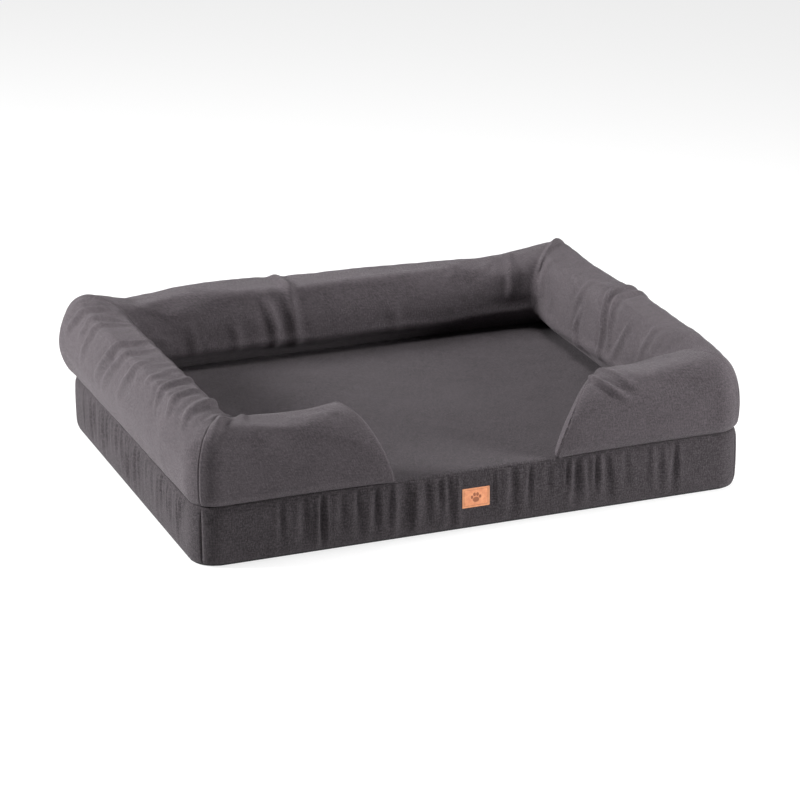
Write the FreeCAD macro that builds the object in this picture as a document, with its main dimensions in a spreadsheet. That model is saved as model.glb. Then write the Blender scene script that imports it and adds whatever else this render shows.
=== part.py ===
import FreeCAD, Part
import os
import sys
import Sketcher

# Pet cushion bed: a foam mattress in a zipped cloth cover, with a stuffed bolster along the back,
# both arms and two short front returns.
# +X runs to the right arm, +Y to the back, +Z up. The origin is the middle of the mattress's footprint, on
# the floor. Millimetres.

DIMENSIONS = (
    # mattress
    ("mattress_length", 1000),          # left to right, over the cover
    ("mattress_width", 760),            # front to back
    ("mattress_height", 106),
    ("corner_radius", 73),              # the mattress's four upright corners
    ("cloth_thickness", 1.5),
    ("cover_ease", 4),                  # room between the side bands and the liner
    ("liner_thickness", 0.5),
    ("topper_height", 36),              # the softer upper slab
    # bolster
    ("bolster_width", 135),
    ("bolster_height", 138),            # back and arms, above the mattress
    ("return_height", 122),             # the two front returns
    ("bolster_foot_radius", 45),        # rounding under the bolster's sides
    ("bolster_corner_radius", 85),      # outer corners, seen from above
    ("side_overhang", 12),              # how far the arms stand out past the mattress
    ("back_overhang", 28),
    ("fill_clearance", 0.3),            # between a tube's cloth and its filling
    ("entry_foot_width", 316),          # between the returns, on the mattress
    ("entry_mouth_width", 486),         # between the returns, at their tops
    # label
    ("label_length", 50),
    ("label_height", 35),
    ("label_thickness", 1.2),
    ("label_corner_radius", 1.5),
    ("label_centre_height", 57),
    ("label_offset", -6),               # left of the middle
    # zip
    ("zip_length", 800),
    ("zip_centre_height", 38),
    ("zip_slot_height", 12),
    ("zip_slot_end_room", 6),
    ("tape_thickness", 0.6),
    ("tape_reach", 16),                 # from the zip's centre line to a tape's outer edge
    ("tape_end_length", 15),
    ("coil_thickness", 2),
    ("coil_width", 2.5),
    ("chain_gap", 1.2),                 # between the two coils, where the slider's blade runs
    ("stop_length", 4),
    ("stop_reach", 3.8),
    ("stop_thickness", 2.4),
    ("slider_length", 11),
    ("slider_plate", 1),
    ("slider_clearance", 0.35),
    ("slider_end_gap", 1),
    ("bridge_bar", 1),
    ("bridge_opening_length", 4.8),
    ("bridge_opening_height", 2.6),
    ("bridge_width", 2.5),
    ("puller_thickness", 1.4),
    ("puller_length", 26),
    ("puller_width", 8),
    ("eye_length", 5.6),
    ("eye_clearance", 0.5),             # each side of the bridge
)

SIN_45 = 0.5 ** 0.5
TRIM_MARGIN = 10                        # how far a trimming outline reaches past the solid
LEAST_SIDE = 5                          # straight side left between a tube's foot rounding and its arch

document = FreeCAD.newDocument("pet_cushion_bed")


class Size:
    """A length with its value and the expression that gives it, so that a formula is written once."""

    def __init__(self, value, text):
        self.value = value
        self.text = text

    def __add__(self, other):
        other = as_size(other)
        return Size(self.value + other.value, f"({self.text} + {other.text})")

    def __sub__(self, other):
        other = as_size(other)
        return Size(self.value - other.value, f"({self.text} - {other.text})")

    def __mul__(self, other):
        other = as_size(other)
        return Size(self.value * other.value, f"({self.text} * {other.text})")

    def __truediv__(self, other):
        other = as_size(other)
        return Size(self.value / other.value, f"({self.text} / {other.text})")

    def __neg__(self):
        return self * -1

    def root(self):
        return Size(self.value ** 0.5, f"sqrt({self.text})")


def as_size(number):
    return number if isinstance(number, Size) else Size(float(number), f"({number})")


def smaller(first, second):
    return Size(min(first.value, second.value), f"min({first.text}; {second.text})")


def make_sheet():
    """Put the driving dimensions in the spreadsheet and return them as named sizes."""
    sheet = document.addObject("Spreadsheet::Sheet", "dims")
    sizes = {}
    for row, (name, value) in enumerate(DIMENSIONS, start=1):
        sheet.set(f"A{row}", name)
        sheet.set(f"B{row}", str(value))
        sheet.setAlias(f"B{row}", name)
        sizes[name] = Size(float(value), f"dims.{name}")
    document.recompute()
    return sizes


D = make_sheet()
ZERO = as_size(0)


# ---------------------------------------------------------------- building blocks

def new_body(label, x=ZERO, y=ZERO, z=ZERO):
    """A body whose place is bound to the sheet."""
    body = document.addObject("PartDesign::Body", label)
    body.Label = label
    for axis, size in (("x", x), ("y", y), ("z", z)):
        body.setExpression(f"Placement.Base.{axis}", size.text)
    return body


def new_sketch(body, plane):
    sketch = body.newObject("Sketcher::SketchObject", "sketch")
    support = [item for item in body.Origin.OriginFeatures if item.Role == plane][0]
    sketch.AttachmentSupport = [(support, "")]
    sketch.MapMode = "FlatFace"
    return sketch


def arc_between(start, end, radius):
    """The arc under half a turn from start to end; a positive radius turns left, a negative one right."""
    chord = end - start
    left = FreeCAD.Vector(-chord.y, chord.x, 0).normalize()
    height = (radius ** 2 - (chord.Length / 2) ** 2) ** 0.5
    centre = (start + end) * 0.5 + left * (height if radius > 0 else -height)
    middle = centre + ((start + end) * 0.5 - centre).normalize() * abs(radius)
    return Part.Arc(start, middle, end)


def draw_outline(sketch, corners):
    """Draw one closed outline. Each corner is (x, y) or (x, y, radius), where the radius belongs to the arc
    that runs from this corner to the next. Every corner and radius is bound to the sheet."""
    first = sketch.GeometryCount
    count = len(corners)
    points = [FreeCAD.Vector(corner[0].value, corner[1].value, 0) for corner in corners]
    starts = []
    for index, corner in enumerate(corners):
        start = points[index]
        end = points[(index + 1) % count]
        if len(corner) == 2:
            sketch.addGeometry(Part.LineSegment(start, end), False)
            starts.append((1, 2))
            continue
        sketch.addGeometry(arc_between(start, end, corner[2].value), False)
        # a sketch keeps its arcs counter-clockwise, so a right-hand arc has its ends exchanged
        starts.append((1, 2) if corner[2].value > 0 else (2, 1))
    for index in range(count):
        following = (index + 1) % count
        sketch.addConstraint(Sketcher.Constraint(
            "Coincident", first + index, starts[index][1], first + following, starts[following][0]))
    for index, corner in enumerate(corners):
        for kind, size in (("DistanceX", corner[0]), ("DistanceY", corner[1])):
            number = sketch.addConstraint(Sketcher.Constraint(
                kind, -1, 1, first + index, starts[index][0], size.value))
            sketch.setExpression(f"Constraints[{number}]", size.text)
        if len(corner) == 3:
            number = sketch.addConstraint(Sketcher.Constraint("Radius", first + index, abs(corner[2].value)))
            radius = corner[2] if corner[2].value > 0 else -corner[2]
            sketch.setExpression(f"Constraints[{number}]", radius.text)


def pad(body, sketch, length, centred=False):
    feature = body.newObject("PartDesign::Pad", "pad")
    feature.Profile = sketch
    feature.setExpression("Length", length.text)
    feature.Midplane = centred
    document.recompute()


def cut_through(body, sketch):
    """Cut a sketch through the whole body, both ways, and make sure that it cuts."""
    before = body.Shape.Volume
    feature = body.newObject("PartDesign::Pocket", "cut")
    feature.Profile = sketch
    feature.Type = "ThroughAll"
    feature.Midplane = True
    document.recompute()
    if not body.Shape.Volume < before:
        sys.exit(f"{body.Label}: a cut removed nothing")


def rectangle(x0, y0, x1, y1):
    return [(x0, y0), (x1, y0), (x1, y1), (x0, y1)]


def rounded_rectangle(length, width, radius):
    """A rectangle about the origin with rounded corners, counter-clockwise."""
    x = length / 2
    y = width / 2
    return [
        (-x + radius, -y), (x - radius, -y, radius),
        (x, -y + radius), (x, y - radius, radius),
        (x - radius, y), (-x + radius, y, radius),
        (-x, y - radius), (-x, -y + radius, radius),
    ]


def slab(label, inset, bottom, height):
    """A flat slab of the mattress's outline, drawn in by inset all round."""
    body = new_body(label, z=bottom)
    sketch = new_sketch(body, "XY_Plane")
    length = D["mattress_length"] - inset * 2
    width = D["mattress_width"] - inset * 2
    draw_outline(sketch, rounded_rectangle(length, width, D["corner_radius"] - inset))
    pad(body, sketch, height)
    return body


def subtract(label, base, tool):
    cut = document.addObject("Part::Cut", label)
    cut.Label = label
    cut.Base = base
    cut.Tool = tool
    document.recompute()
    return cut


# ---------------------------------------------------------------- mattress

cloth = D["cloth_thickness"]
half_length = D["mattress_length"] / 2
half_width = D["mattress_width"] / 2
liner_inset = cloth + D["cover_ease"]
foam_inset = liner_inset + D["liner_thickness"]
foam_bottom = cloth + D["liner_thickness"]
foam_top = D["mattress_height"] - foam_bottom
topper_bottom = foam_top - D["topper_height"]


def side_band(label, length, depth):
    """One side band, drawn along the front: the straight run and half of each rounded corner.
    length is the side's own length, depth the mattress's size across it."""
    radius = D["corner_radius"]
    inner_radius = radius - cloth
    x = length / 2 - radius
    y = -(depth / 2) + radius
    outer_shift = radius * SIN_45
    inner_shift = inner_radius * SIN_45
    outline = [
        (-x - outer_shift, y - outer_shift, radius),
        (-x, y - radius),
        (x, y - radius, radius),
        (x + outer_shift, y - outer_shift),
        (x + inner_shift, y - inner_shift, -inner_radius),
        (x, y - inner_radius),
        (-x, y - inner_radius, -inner_radius),
        (-x - inner_shift, y - inner_shift),
    ]
    body = new_body(label, z=cloth)
    sketch = new_sketch(body, "XY_Plane")
    draw_outline(sketch, outline)
    pad(body, sketch, D["mattress_height"] - cloth * 2)
    return body


def turn(body, degrees):
    body.Placement = FreeCAD.Placement(
        body.Placement.Base, FreeCAD.Rotation(FreeCAD.Vector(0, 0, 1), degrees))
    document.recompute()


def make_mattress():
    base_foam = slab("base_foam", foam_inset, foam_bottom, topper_bottom - foam_bottom)
    top_foam = slab("top_foam", foam_inset, topper_bottom, D["topper_height"])
    liner_outside = slab("liner_outside", liner_inset, cloth, D["mattress_height"] - cloth * 2)
    liner_inside = slab("liner_inside", foam_inset, foam_bottom, foam_top - foam_bottom)
    liner = subtract("inner_liner", liner_outside, liner_inside)
    base_panel = slab("cover_base_panel", ZERO, ZERO, cloth)
    top_panel = slab("cover_top_panel", ZERO, D["mattress_height"] - cloth, cloth)

    front = side_band("cover_boxing_front", D["mattress_length"], D["mattress_width"])
    right = side_band("cover_boxing_right", D["mattress_width"], D["mattress_length"])
    back = side_band("cover_boxing_back", D["mattress_length"], D["mattress_width"])
    left = side_band("cover_boxing_left", D["mattress_width"], D["mattress_length"])
    turn(right, 90)
    turn(left, -90)
    turn(back, 180)
    slot = new_sketch(back, "XZ_Plane")
    slot_x = D["zip_length"] / 2 + D["zip_slot_end_room"]
    slot_z = D["zip_centre_height"] - cloth
    slot_half = D["zip_slot_height"] / 2
    draw_outline(slot, rectangle(-slot_x, slot_z - slot_half, slot_x, slot_z + slot_half))
    cut_through(back, slot)
    return [base_foam, top_foam, liner, base_panel, top_panel, front, right, back, left]


def make_label():
    """The patch lies on the front band."""
    body = new_body("label_patch", D["label_offset"], -half_width, D["label_centre_height"])
    sketch = new_sketch(body, "XZ_Plane")
    draw_outline(sketch, rounded_rectangle(D["label_length"], D["label_height"], D["label_corner_radius"]))
    pad(body, sketch, D["label_thickness"])
    return body


# ---------------------------------------------------------------- bolster

# inner and outer faces of the bolster's U
arm_outside = half_length + D["side_overhang"]
arm_inside = arm_outside - D["bolster_width"]
back_outside = half_width + D["back_overhang"]
back_inside = back_outside - D["bolster_width"]
return_outside = -half_width
return_inside = return_outside + D["bolster_width"]


def tube_section(centre, height, inset, floor):
    """The bolster's cross-section: flat foot, rounded sides and an arched top, drawn in by inset."""
    half = D["bolster_width"] / 2
    foot = smaller(D["bolster_foot_radius"], height - half - LEAST_SIDE)
    foot_radius = foot - inset
    arch_radius = half - inset
    foot_centre = floor + foot_radius
    shoulder = height - half
    crown = height - inset
    return [
        (centre - half + foot, floor),
        (centre + half - foot, floor, foot_radius),
        (centre + half - inset, foot_centre),
        (centre + half - inset, shoulder, arch_radius),
        (centre, crown, arch_radius),
        (centre - half + inset, shoulder),
        (centre - half + inset, foot_centre, foot_radius),
    ]


def corner_points(side_x, side_y, inset):
    """Where a mitre leaves the inner corner and meets the outer rounding, and where that rounding ends on the
    two outer faces. side_x is -1 or 1 for left or right, side_y -1 or 1 for front or back."""
    radius = D["bolster_corner_radius"]
    outer_y = back_outside if side_y > 0 else return_outside
    inner_y = back_inside if side_y > 0 else return_inside
    centre_x = (arm_outside - radius) * side_x
    centre_y = outer_y - radius * side_y
    rounding = radius - inset
    return {
        "inner": (arm_inside * side_x, inner_y),
        "middle": (centre_x + rounding * SIN_45 * side_x, centre_y + rounding * SIN_45 * side_y),
        "end_on_arm": (centre_x + rounding * side_x, centre_y),
        "end_on_side": (centre_x, centre_y + rounding * side_y),
        "rounding": rounding,
    }


def back_footprint(inset):
    right = corner_points(1, 1, inset)
    left = corner_points(-1, 1, inset)
    rounding = right["rounding"]
    return [
        right["inner"],
        (*right["middle"], rounding),
        right["end_on_side"],
        (*left["end_on_side"], rounding),
        left["middle"],
        left["inner"],
    ]


def arm_footprint(side, inset):
    front = corner_points(side, -1, inset)
    back = corner_points(side, 1, inset)
    rounding = front["rounding"] * side
    return [
        front["inner"],
        (*front["middle"], rounding),
        front["end_on_arm"],
        (*back["end_on_arm"], rounding),
        back["middle"],
        back["inner"],
    ]


def return_footprint(side, inset):
    corner = corner_points(side, -1, inset)
    rounding = corner["rounding"] * side
    return [
        corner["inner"],
        (ZERO, return_inside),
        (ZERO, return_outside + inset),
        (*corner["end_on_side"], rounding),
        corner["middle"],
    ]


def trim_to(body, footprint):
    """Cut away all that lies outside a footprint seen from above."""
    sketch = new_sketch(body, "XY_Plane")
    reach = D["mattress_length"] + D["mattress_width"]
    draw_outline(sketch, rectangle(-reach, -reach, reach, reach))
    draw_outline(sketch, footprint)
    cut_through(body, sketch)


def slant_end(body, side, inset):
    """Slope a return's free end, from the entry's foot to its wider mouth."""
    foot = D["entry_foot_width"] / 2
    mouth = D["entry_mouth_width"] / 2
    slope = (mouth - foot) / D["return_height"]
    setback = inset * (slope * slope + 1).root()
    foot_x = (foot + setback - slope * TRIM_MARGIN) * side
    mouth_x = (mouth + setback + slope * TRIM_MARGIN) * side
    far = -(as_size(TRIM_MARGIN) * side)
    low = as_size(-TRIM_MARGIN)
    high = D["return_height"] + TRIM_MARGIN
    sketch = new_sketch(body, "XZ_Plane")
    draw_outline(sketch, [(foot_x, low), (mouth_x, high), (far, high), (far, low)])
    cut_through(body, sketch)


def tube_solid(label, place, inset, floor):
    """One straight stretch of the bolster as a solid, standing on the mattress's top panel."""
    body = new_body(label, z=D["mattress_height"])
    side = -1 if place.endswith("left") else 1
    length = D["mattress_length"] + D["mattress_width"]
    half = D["bolster_width"] / 2
    if place in ("left", "right"):
        section = tube_section((arm_outside - half) * side, D["bolster_height"], inset, floor)
        footprint = arm_footprint(side, inset)
    elif place == "back":
        section = tube_section(back_outside - half, D["bolster_height"], inset, floor)
        footprint = back_footprint(inset)
    else:
        section = tube_section(return_outside + half, D["return_height"], inset, floor)
        footprint = return_footprint(side, inset)
    sketch = new_sketch(body, "XZ_Plane" if place in ("left", "right") else "YZ_Plane")
    draw_outline(sketch, section)
    pad(body, sketch, length * 2, centred=True)
    trim_to(body, footprint)
    if place.startswith("front"):
        slant_end(body, side, inset)
    return body


def make_bolster():
    made = []
    for place in ("back", "left", "right", "front_left", "front_right"):
        outside = tube_solid(f"tube_outside_{place}", place, ZERO, ZERO)
        inside = tube_solid(f"tube_inside_{place}", place, cloth, cloth)
        made.append(subtract(f"bolster_sleeve_{place}", outside, inside))
        made.append(tube_solid(f"bolster_fill_{place}", place, cloth + D["fill_clearance"], cloth))
    return made


# ---------------------------------------------------------------- zip

# The zip's own frame: x along the zip, y out of the bed from the tape's outer face, z up across the chain.
zip_face = half_width - cloth
half_zip = D["zip_length"] / 2
half_gap = D["chain_gap"] / 2
coil_edge = half_gap + D["coil_width"]
slider_rest_x = -half_zip + D["slider_end_gap"] + D["slider_length"] / 2
plate_inside = D["coil_thickness"] + D["slider_clearance"]
plate_outside = plate_inside + D["slider_plate"]
bridge_inside = plate_outside + D["bridge_opening_height"]
puller_axis = plate_outside + D["bridge_opening_height"] / 2


def zip_strip(label, side, near, far, depth, thickness, length, at_x=ZERO):
    """A straight strip along the zip. near and far are its edges, measured from the chain's centre line."""
    body = new_body(label, at_x, zip_face + depth, D["zip_centre_height"])
    sketch = new_sketch(body, "YZ_Plane")
    draw_outline(sketch, rectangle(ZERO, near * side, thickness, far * side))
    pad(body, sketch, length, centred=True)
    return body


def make_end_stops():
    """Two top stops, one on each tape where the slider closes the zip, and one bottom stop across both."""
    reach = D["stop_reach"]
    thickness = D["stop_thickness"]
    length = D["stop_length"]
    at_x = half_zip + length / 2
    parts = [
        zip_strip("stop_upper", 1, half_gap, reach, ZERO, thickness, length, -at_x),
        zip_strip("stop_lower", -1, half_gap, reach, ZERO, thickness, length, -at_x),
        zip_strip("stop_bottom", 1, -reach, reach, ZERO, thickness, length, at_x),
    ]
    stops = document.addObject("Part::Compound", "cover_zip_end_stops")
    stops.Label = "cover_zip_end_stops"
    stops.Links = parts
    document.recompute()
    return stops


def make_slider():
    """Two plates joined by the blade between the coils, with flanges round the chain and a bridge."""
    gap = D["slider_clearance"]
    plate = D["slider_plate"]
    under_inside = -(D["tape_thickness"] + gap)
    flange_inside = coil_edge + gap
    edge = flange_inside + plate
    blade = half_gap - gap
    body = new_body("cover_zip_slider", slider_rest_x, zip_face, D["zip_centre_height"])
    section = new_sketch(body, "YZ_Plane")
    draw_outline(section, [
        (under_inside - plate, -edge), (under_inside, -edge), (under_inside, -blade), (plate_inside, -blade),
        (plate_inside, -flange_inside), (gap, -flange_inside), (gap, -edge), (plate_outside, -edge),
        (plate_outside, edge), (gap, edge), (gap, flange_inside), (plate_inside, flange_inside),
        (plate_inside, blade), (under_inside, blade), (under_inside, edge), (under_inside - plate, edge),
    ])
    pad(body, section, D["slider_length"], centred=True)
    leg = D["bridge_opening_length"] / 2
    foot = leg + D["bridge_bar"]
    top = bridge_inside + D["bridge_bar"]
    bridge = new_sketch(body, "XY_Plane")
    draw_outline(bridge, [
        (-foot, plate_inside), (-leg, plate_inside), (-leg, bridge_inside), (leg, bridge_inside),
        (leg, plate_inside), (foot, plate_inside), (foot, top), (-foot, top),
    ])
    pad(body, bridge, D["bridge_width"], centred=True)
    return body


def make_puller():
    """A flat tab with an eye, whose end bar passes under the bridge."""
    bar = D["puller_thickness"] / 2
    eye_half = D["bridge_width"] / 2 + D["eye_clearance"]
    outer = D["puller_width"] / 2
    body = new_body("cover_zip_puller", slider_rest_x, zip_face + puller_axis, D["zip_centre_height"])
    sketch = new_sketch(body, "XZ_Plane")
    draw_outline(sketch, [
        (bar, -(eye_half + bar * 2)), (bar, eye_half + bar * 2), (-bar - D["eye_length"], outer),
        (bar - D["puller_length"] + outer, outer, outer), (bar - D["puller_length"], ZERO, outer),
        (bar - D["puller_length"] + outer, -outer), (-bar - D["eye_length"], -outer),
    ])
    draw_outline(sketch, rectangle(-bar - D["eye_length"] + bar, -eye_half, -bar, eye_half))
    pad(body, sketch, D["puller_thickness"], centred=True)
    return body


def make_zip():
    made = []
    for name, side in (("upper", 1), ("lower", -1)):
        tape_length = D["zip_length"] + D["tape_end_length"] * 2
        made.append(zip_strip(f"cover_zip_tape_{name}", side, half_gap, D["tape_reach"], -D["tape_thickness"],
                              D["tape_thickness"], tape_length))
        made.append(zip_strip(f"cover_zip_coil_{name}", side, half_gap, coil_edge, ZERO,
                              D["coil_thickness"], D["zip_length"]))
    made.append(make_end_stops())
    made.append(make_slider())
    made.append(make_puller())
    return made


# ---------------------------------------------------------------- check and export

def check_document():
    for item in document.Objects:
        if "Invalid" in item.State or "Error" in item.State:
            sys.exit(f"{item.Label} failed: {item.State}")


def export(parts):
    os.makedirs("parts", exist_ok=True)
    for part in parts:
        shape = part.Shape
        if shape.isNull() or not shape.isValid() or not shape.Solids:
            sys.exit(f"{part.Label} has no valid solid")
    for part in parts:
        part.Shape.exportStep(os.path.join("parts", f"{part.Label}.step"))
        box = part.Shape.BoundBox
        print(f"{part.Label}: {len(part.Shape.Solids)} solid(s), {part.Shape.Volume:.0f} mm3, "
              f"{box.XLength:.1f} x {box.YLength:.1f} x {box.ZLength:.1f} mm")


all_parts = make_mattress() + [make_label()] + make_bolster() + make_zip()
document.recompute()
check_document()
export(all_parts)
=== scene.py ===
import math
import random

import bmesh
import bpy
import numpy as np
from mathutils import Matrix, Vector, noise


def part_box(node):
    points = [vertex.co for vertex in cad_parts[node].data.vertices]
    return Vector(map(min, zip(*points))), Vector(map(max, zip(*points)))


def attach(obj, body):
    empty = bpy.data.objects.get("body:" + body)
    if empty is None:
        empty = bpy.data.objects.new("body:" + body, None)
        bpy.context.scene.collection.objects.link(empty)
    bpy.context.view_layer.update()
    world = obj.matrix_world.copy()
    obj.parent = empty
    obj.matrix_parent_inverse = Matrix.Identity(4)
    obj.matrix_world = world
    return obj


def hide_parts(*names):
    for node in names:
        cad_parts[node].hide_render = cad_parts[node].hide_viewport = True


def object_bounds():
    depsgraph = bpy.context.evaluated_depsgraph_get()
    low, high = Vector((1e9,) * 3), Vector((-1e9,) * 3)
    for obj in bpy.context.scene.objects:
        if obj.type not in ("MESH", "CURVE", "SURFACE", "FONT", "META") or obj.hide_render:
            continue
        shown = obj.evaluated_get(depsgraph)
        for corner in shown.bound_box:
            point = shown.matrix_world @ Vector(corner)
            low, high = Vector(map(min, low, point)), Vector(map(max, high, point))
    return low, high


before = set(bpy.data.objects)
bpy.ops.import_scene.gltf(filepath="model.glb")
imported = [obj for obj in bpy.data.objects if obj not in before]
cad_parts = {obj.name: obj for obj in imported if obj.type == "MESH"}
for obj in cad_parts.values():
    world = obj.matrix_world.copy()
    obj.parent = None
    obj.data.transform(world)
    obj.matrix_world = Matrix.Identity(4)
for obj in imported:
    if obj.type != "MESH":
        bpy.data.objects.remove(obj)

CAD_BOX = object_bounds()
MM = 0.001

# ---- places, read from the imported model but for the corner radius ----------------------------------------
PANEL_LOW, PANEL_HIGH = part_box("cover_top_panel")
TOP = PANEL_HIGH.z
HALF_X = PANEL_HIGH.x
HALF_Y = PANEL_HIGH.y
CORNER = 48 * MM                    # the mattress's corner radius
CLOTH = PANEL_HIGH.z - PANEL_LOW.z

# Each side of the bed: the way it faces, the way its own x runs, its distance from the middle and half length.
SIDES = {
    "front": ((0, -1), (1, 0), HALF_Y, HALF_X),
    "left": ((-1, 0), (0, 1), HALF_X, HALF_Y),
    "back": ((0, 1), (1, 0), HALF_Y, HALF_X),
    "right": ((1, 0), (0, 1), HALF_X, HALF_Y),
}


def smooth(low, high, value):
    """0 below low, 1 above high, and a smooth ramp between."""
    ramp = np.clip((value - low) / (high - low), 0, 1)
    return ramp * ramp * (3 - 2 * ramp)


def straight_of(side):
    """Half the straight stretch of a side's edge, between its corner arcs."""
    return SIDES[side][3] - CORNER


def line_end(side, inward):
    """How far along a line at this distance inward runs from the middle of its side to the corner's mitre."""
    arc = (CORNER - inward) * math.pi / 4
    return straight_of(side) + np.where(inward < CORNER, arc, CORNER - inward)


def place(side, along, inward, height):
    """Points given along a side of the bed, inward from its edge and above the floor, round its corners."""
    out, run, reach, _ = SIDES[side]
    along, inward, height = np.broadcast_arrays(
        np.asarray(along, float), np.asarray(inward, float), np.asarray(height, float))
    straight = straight_of(side)
    radius = CORNER - inward
    beyond = np.abs(along) - straight
    turns = (beyond > 0) & (radius > 0.1 * MM)
    angle = np.where(turns, beyond / np.where(turns, radius, 1), 0)
    far = np.where(turns, straight + radius * np.sin(angle), np.abs(along)) * np.sign(along)
    deep = reach - np.where(turns, CORNER - radius * np.cos(angle), inward)
    return np.stack([out[0] * deep + run[0] * far, out[1] * deep + run[1] * far, height], -1)


# ---- meshes ----------------------------------------------------------------------------------------------
def new_object(name, verts, faces, body="cushion"):
    """A mesh object that rides on a body."""
    mesh = bpy.data.meshes.new(name)
    mesh.from_pydata([tuple(v) for v in verts], [], faces)
    mesh.update()
    piece = bpy.data.objects.new(name, mesh)
    bpy.context.scene.collection.objects.link(piece)
    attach(piece, body)
    return piece


def coordinates(piece):
    """The piece's vertices as an array."""
    out = np.empty(len(piece.data.vertices) * 3)
    piece.data.vertices.foreach_get("co", out)
    return out.reshape(-1, 3)


def set_coordinates(piece, points):
    piece.data.vertices.foreach_set("co", np.ascontiguousarray(points, float).ravel())
    piece.data.update()


def normals(piece):
    """The piece's vertex normals as an array."""
    out = np.empty(len(piece.data.vertices) * 3, np.float32)
    piece.data.vertex_normals.foreach_get("vector", out)
    return out.reshape(-1, 3).astype(float)


def grid_faces(rows, columns, flip=False, start=0):
    """The quads of a grid of rows by columns vertices, numbered row by row."""
    faces = []
    for i in range(rows - 1):
        for j in range(columns - 1):
            a = start + i * columns + j
            quad = (a, a + 1, a + columns + 1, a + columns)
            faces.append(quad[::-1] if flip else quad)
    return faces


def add_layer(piece, name, values):
    """Keeps one number for each vertex, under a name, through later subdivision."""
    layer = piece.data.attributes.new(name, "FLOAT", "POINT")
    layer.data.foreach_set("value", np.asarray(values, np.float32).ravel())


def layer(piece, name):
    out = np.empty(len(piece.data.vertices), np.float32)
    piece.data.attributes[name].data.foreach_get("value", out)
    return out.astype(float)


def weave_map(piece, across, up):
    """A UV map in metres from a number for each vertex across and up the cloth."""
    loops = np.empty(len(piece.data.loops), int)
    piece.data.loops.foreach_get("vertex_index", loops)
    uv = np.stack([np.asarray(across, float)[loops], np.asarray(up, float)[loops]], -1)
    layer_uv = piece.data.uv_layers.new(name="weave")
    layer_uv.data.foreach_set("uv", uv.astype(np.float32).ravel())


def apply_modifiers(piece):
    """Replaces the piece's mesh by what its modifiers make of it."""
    graph = bpy.context.evaluated_depsgraph_get()
    mesh = bpy.data.meshes.new_from_object(piece.evaluated_get(graph))
    piece.modifiers.clear()
    old = piece.data
    piece.data = mesh
    bpy.data.meshes.remove(old)


def subdivide(piece, levels=1):
    modifier = piece.modifiers.new("subdivision", "SUBSURF")
    modifier.levels = levels
    modifier.render_levels = levels
    modifier.boundary_smooth = "PRESERVE_CORNERS"
    apply_modifiers(piece)


def thicken(piece, thickness, offset=-1):
    """Gives a sheet its cloth's thickness, inward with offset -1."""
    modifier = piece.modifiers.new("thickness", "SOLIDIFY")
    modifier.thickness = thickness
    modifier.offset = offset
    modifier.use_even_offset = False
    apply_modifiers(piece)


def finish_piece(piece, material, replaces=(), sharp=None):
    """Material, smooth shading, material slot and the CAD nodes that the piece stands for."""
    piece.data.materials.clear()
    piece.data.materials.append(material)
    piece.data.polygons.foreach_set("use_smooth", [True] * len(piece.data.polygons))
    if sharp is not None:
        piece.data.set_sharp_from_angle(angle=math.radians(sharp))
    if replaces:
        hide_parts(*replaces)
    return piece


def ripple(points, scale, seed):
    """Smooth noise from -1 to 1 at each point, with features of the size of scale."""
    shift = Vector((seed * 7.31, seed * 3.17, seed * 5.71))
    return np.array([noise.noise(Vector(p) / scale + shift) for p in points])


# ---- materials -------------------------------------------------------------------------------------------
def add_node(tree, kind, settings=None, **inputs):
    """Adds a node. An input is a value or another node's output, by the socket's name, or s0, s1 by place."""
    node = tree.nodes.new("ShaderNode" + kind)
    for name, value in (settings or {}).items():
        setattr(node, name, value)
    for name, value in inputs.items():
        by_place = name[0] == "s" and name[1:].isdigit()
        socket = node.inputs[int(name[1:])] if by_place else node.inputs[name.replace("_", " ")]
        if isinstance(value, bpy.types.NodeSocket):
            tree.links.new(value, socket)
        else:
            socket.default_value = value
    return node


def math_node(tree, operation, *values):
    """The output of a Math node."""
    inputs = {f"s{i}": v for i, v in enumerate(values)}
    return add_node(tree, "Math", {"operation": operation}, **inputs).outputs[0]


def mix_colour(tree, factor, first, second, blend="MIX"):
    node = add_node(tree, "Mix", {"data_type": "RGBA", "blend_type": blend}, s0=factor, s6=first, s7=second)
    return node.outputs[2]


def remap(tree, value, low, high, to_low, to_high):
    node = add_node(tree, "MapRange", None, Value=value, From_Min=low, From_Max=high, To_Min=to_low, To_Max=to_high)
    return node.outputs[0]


def noise_of(tree, vector, scale, detail=2.0, roughness=0.5):
    node = add_node(tree, "TexNoise", None, Vector=vector, Scale=scale, Detail=detail, Roughness=roughness)
    return node.outputs["Fac"]


def scaled(tree, vector, scale):
    return add_node(tree, "Mapping", None, Vector=vector, Scale=scale).outputs[0]


def new_material(name, **shader_values):
    """A material with one Principled shader, whose uniform values are set on its own sockets."""
    material = bpy.data.materials.new(name)
    material.use_nodes = True
    tree = material.node_tree
    shader = tree.nodes["Principled BSDF"]
    for key, value in shader_values.items():
        shader.inputs[key.replace("_", " ")].default_value = value
    return material, tree, shader


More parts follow.
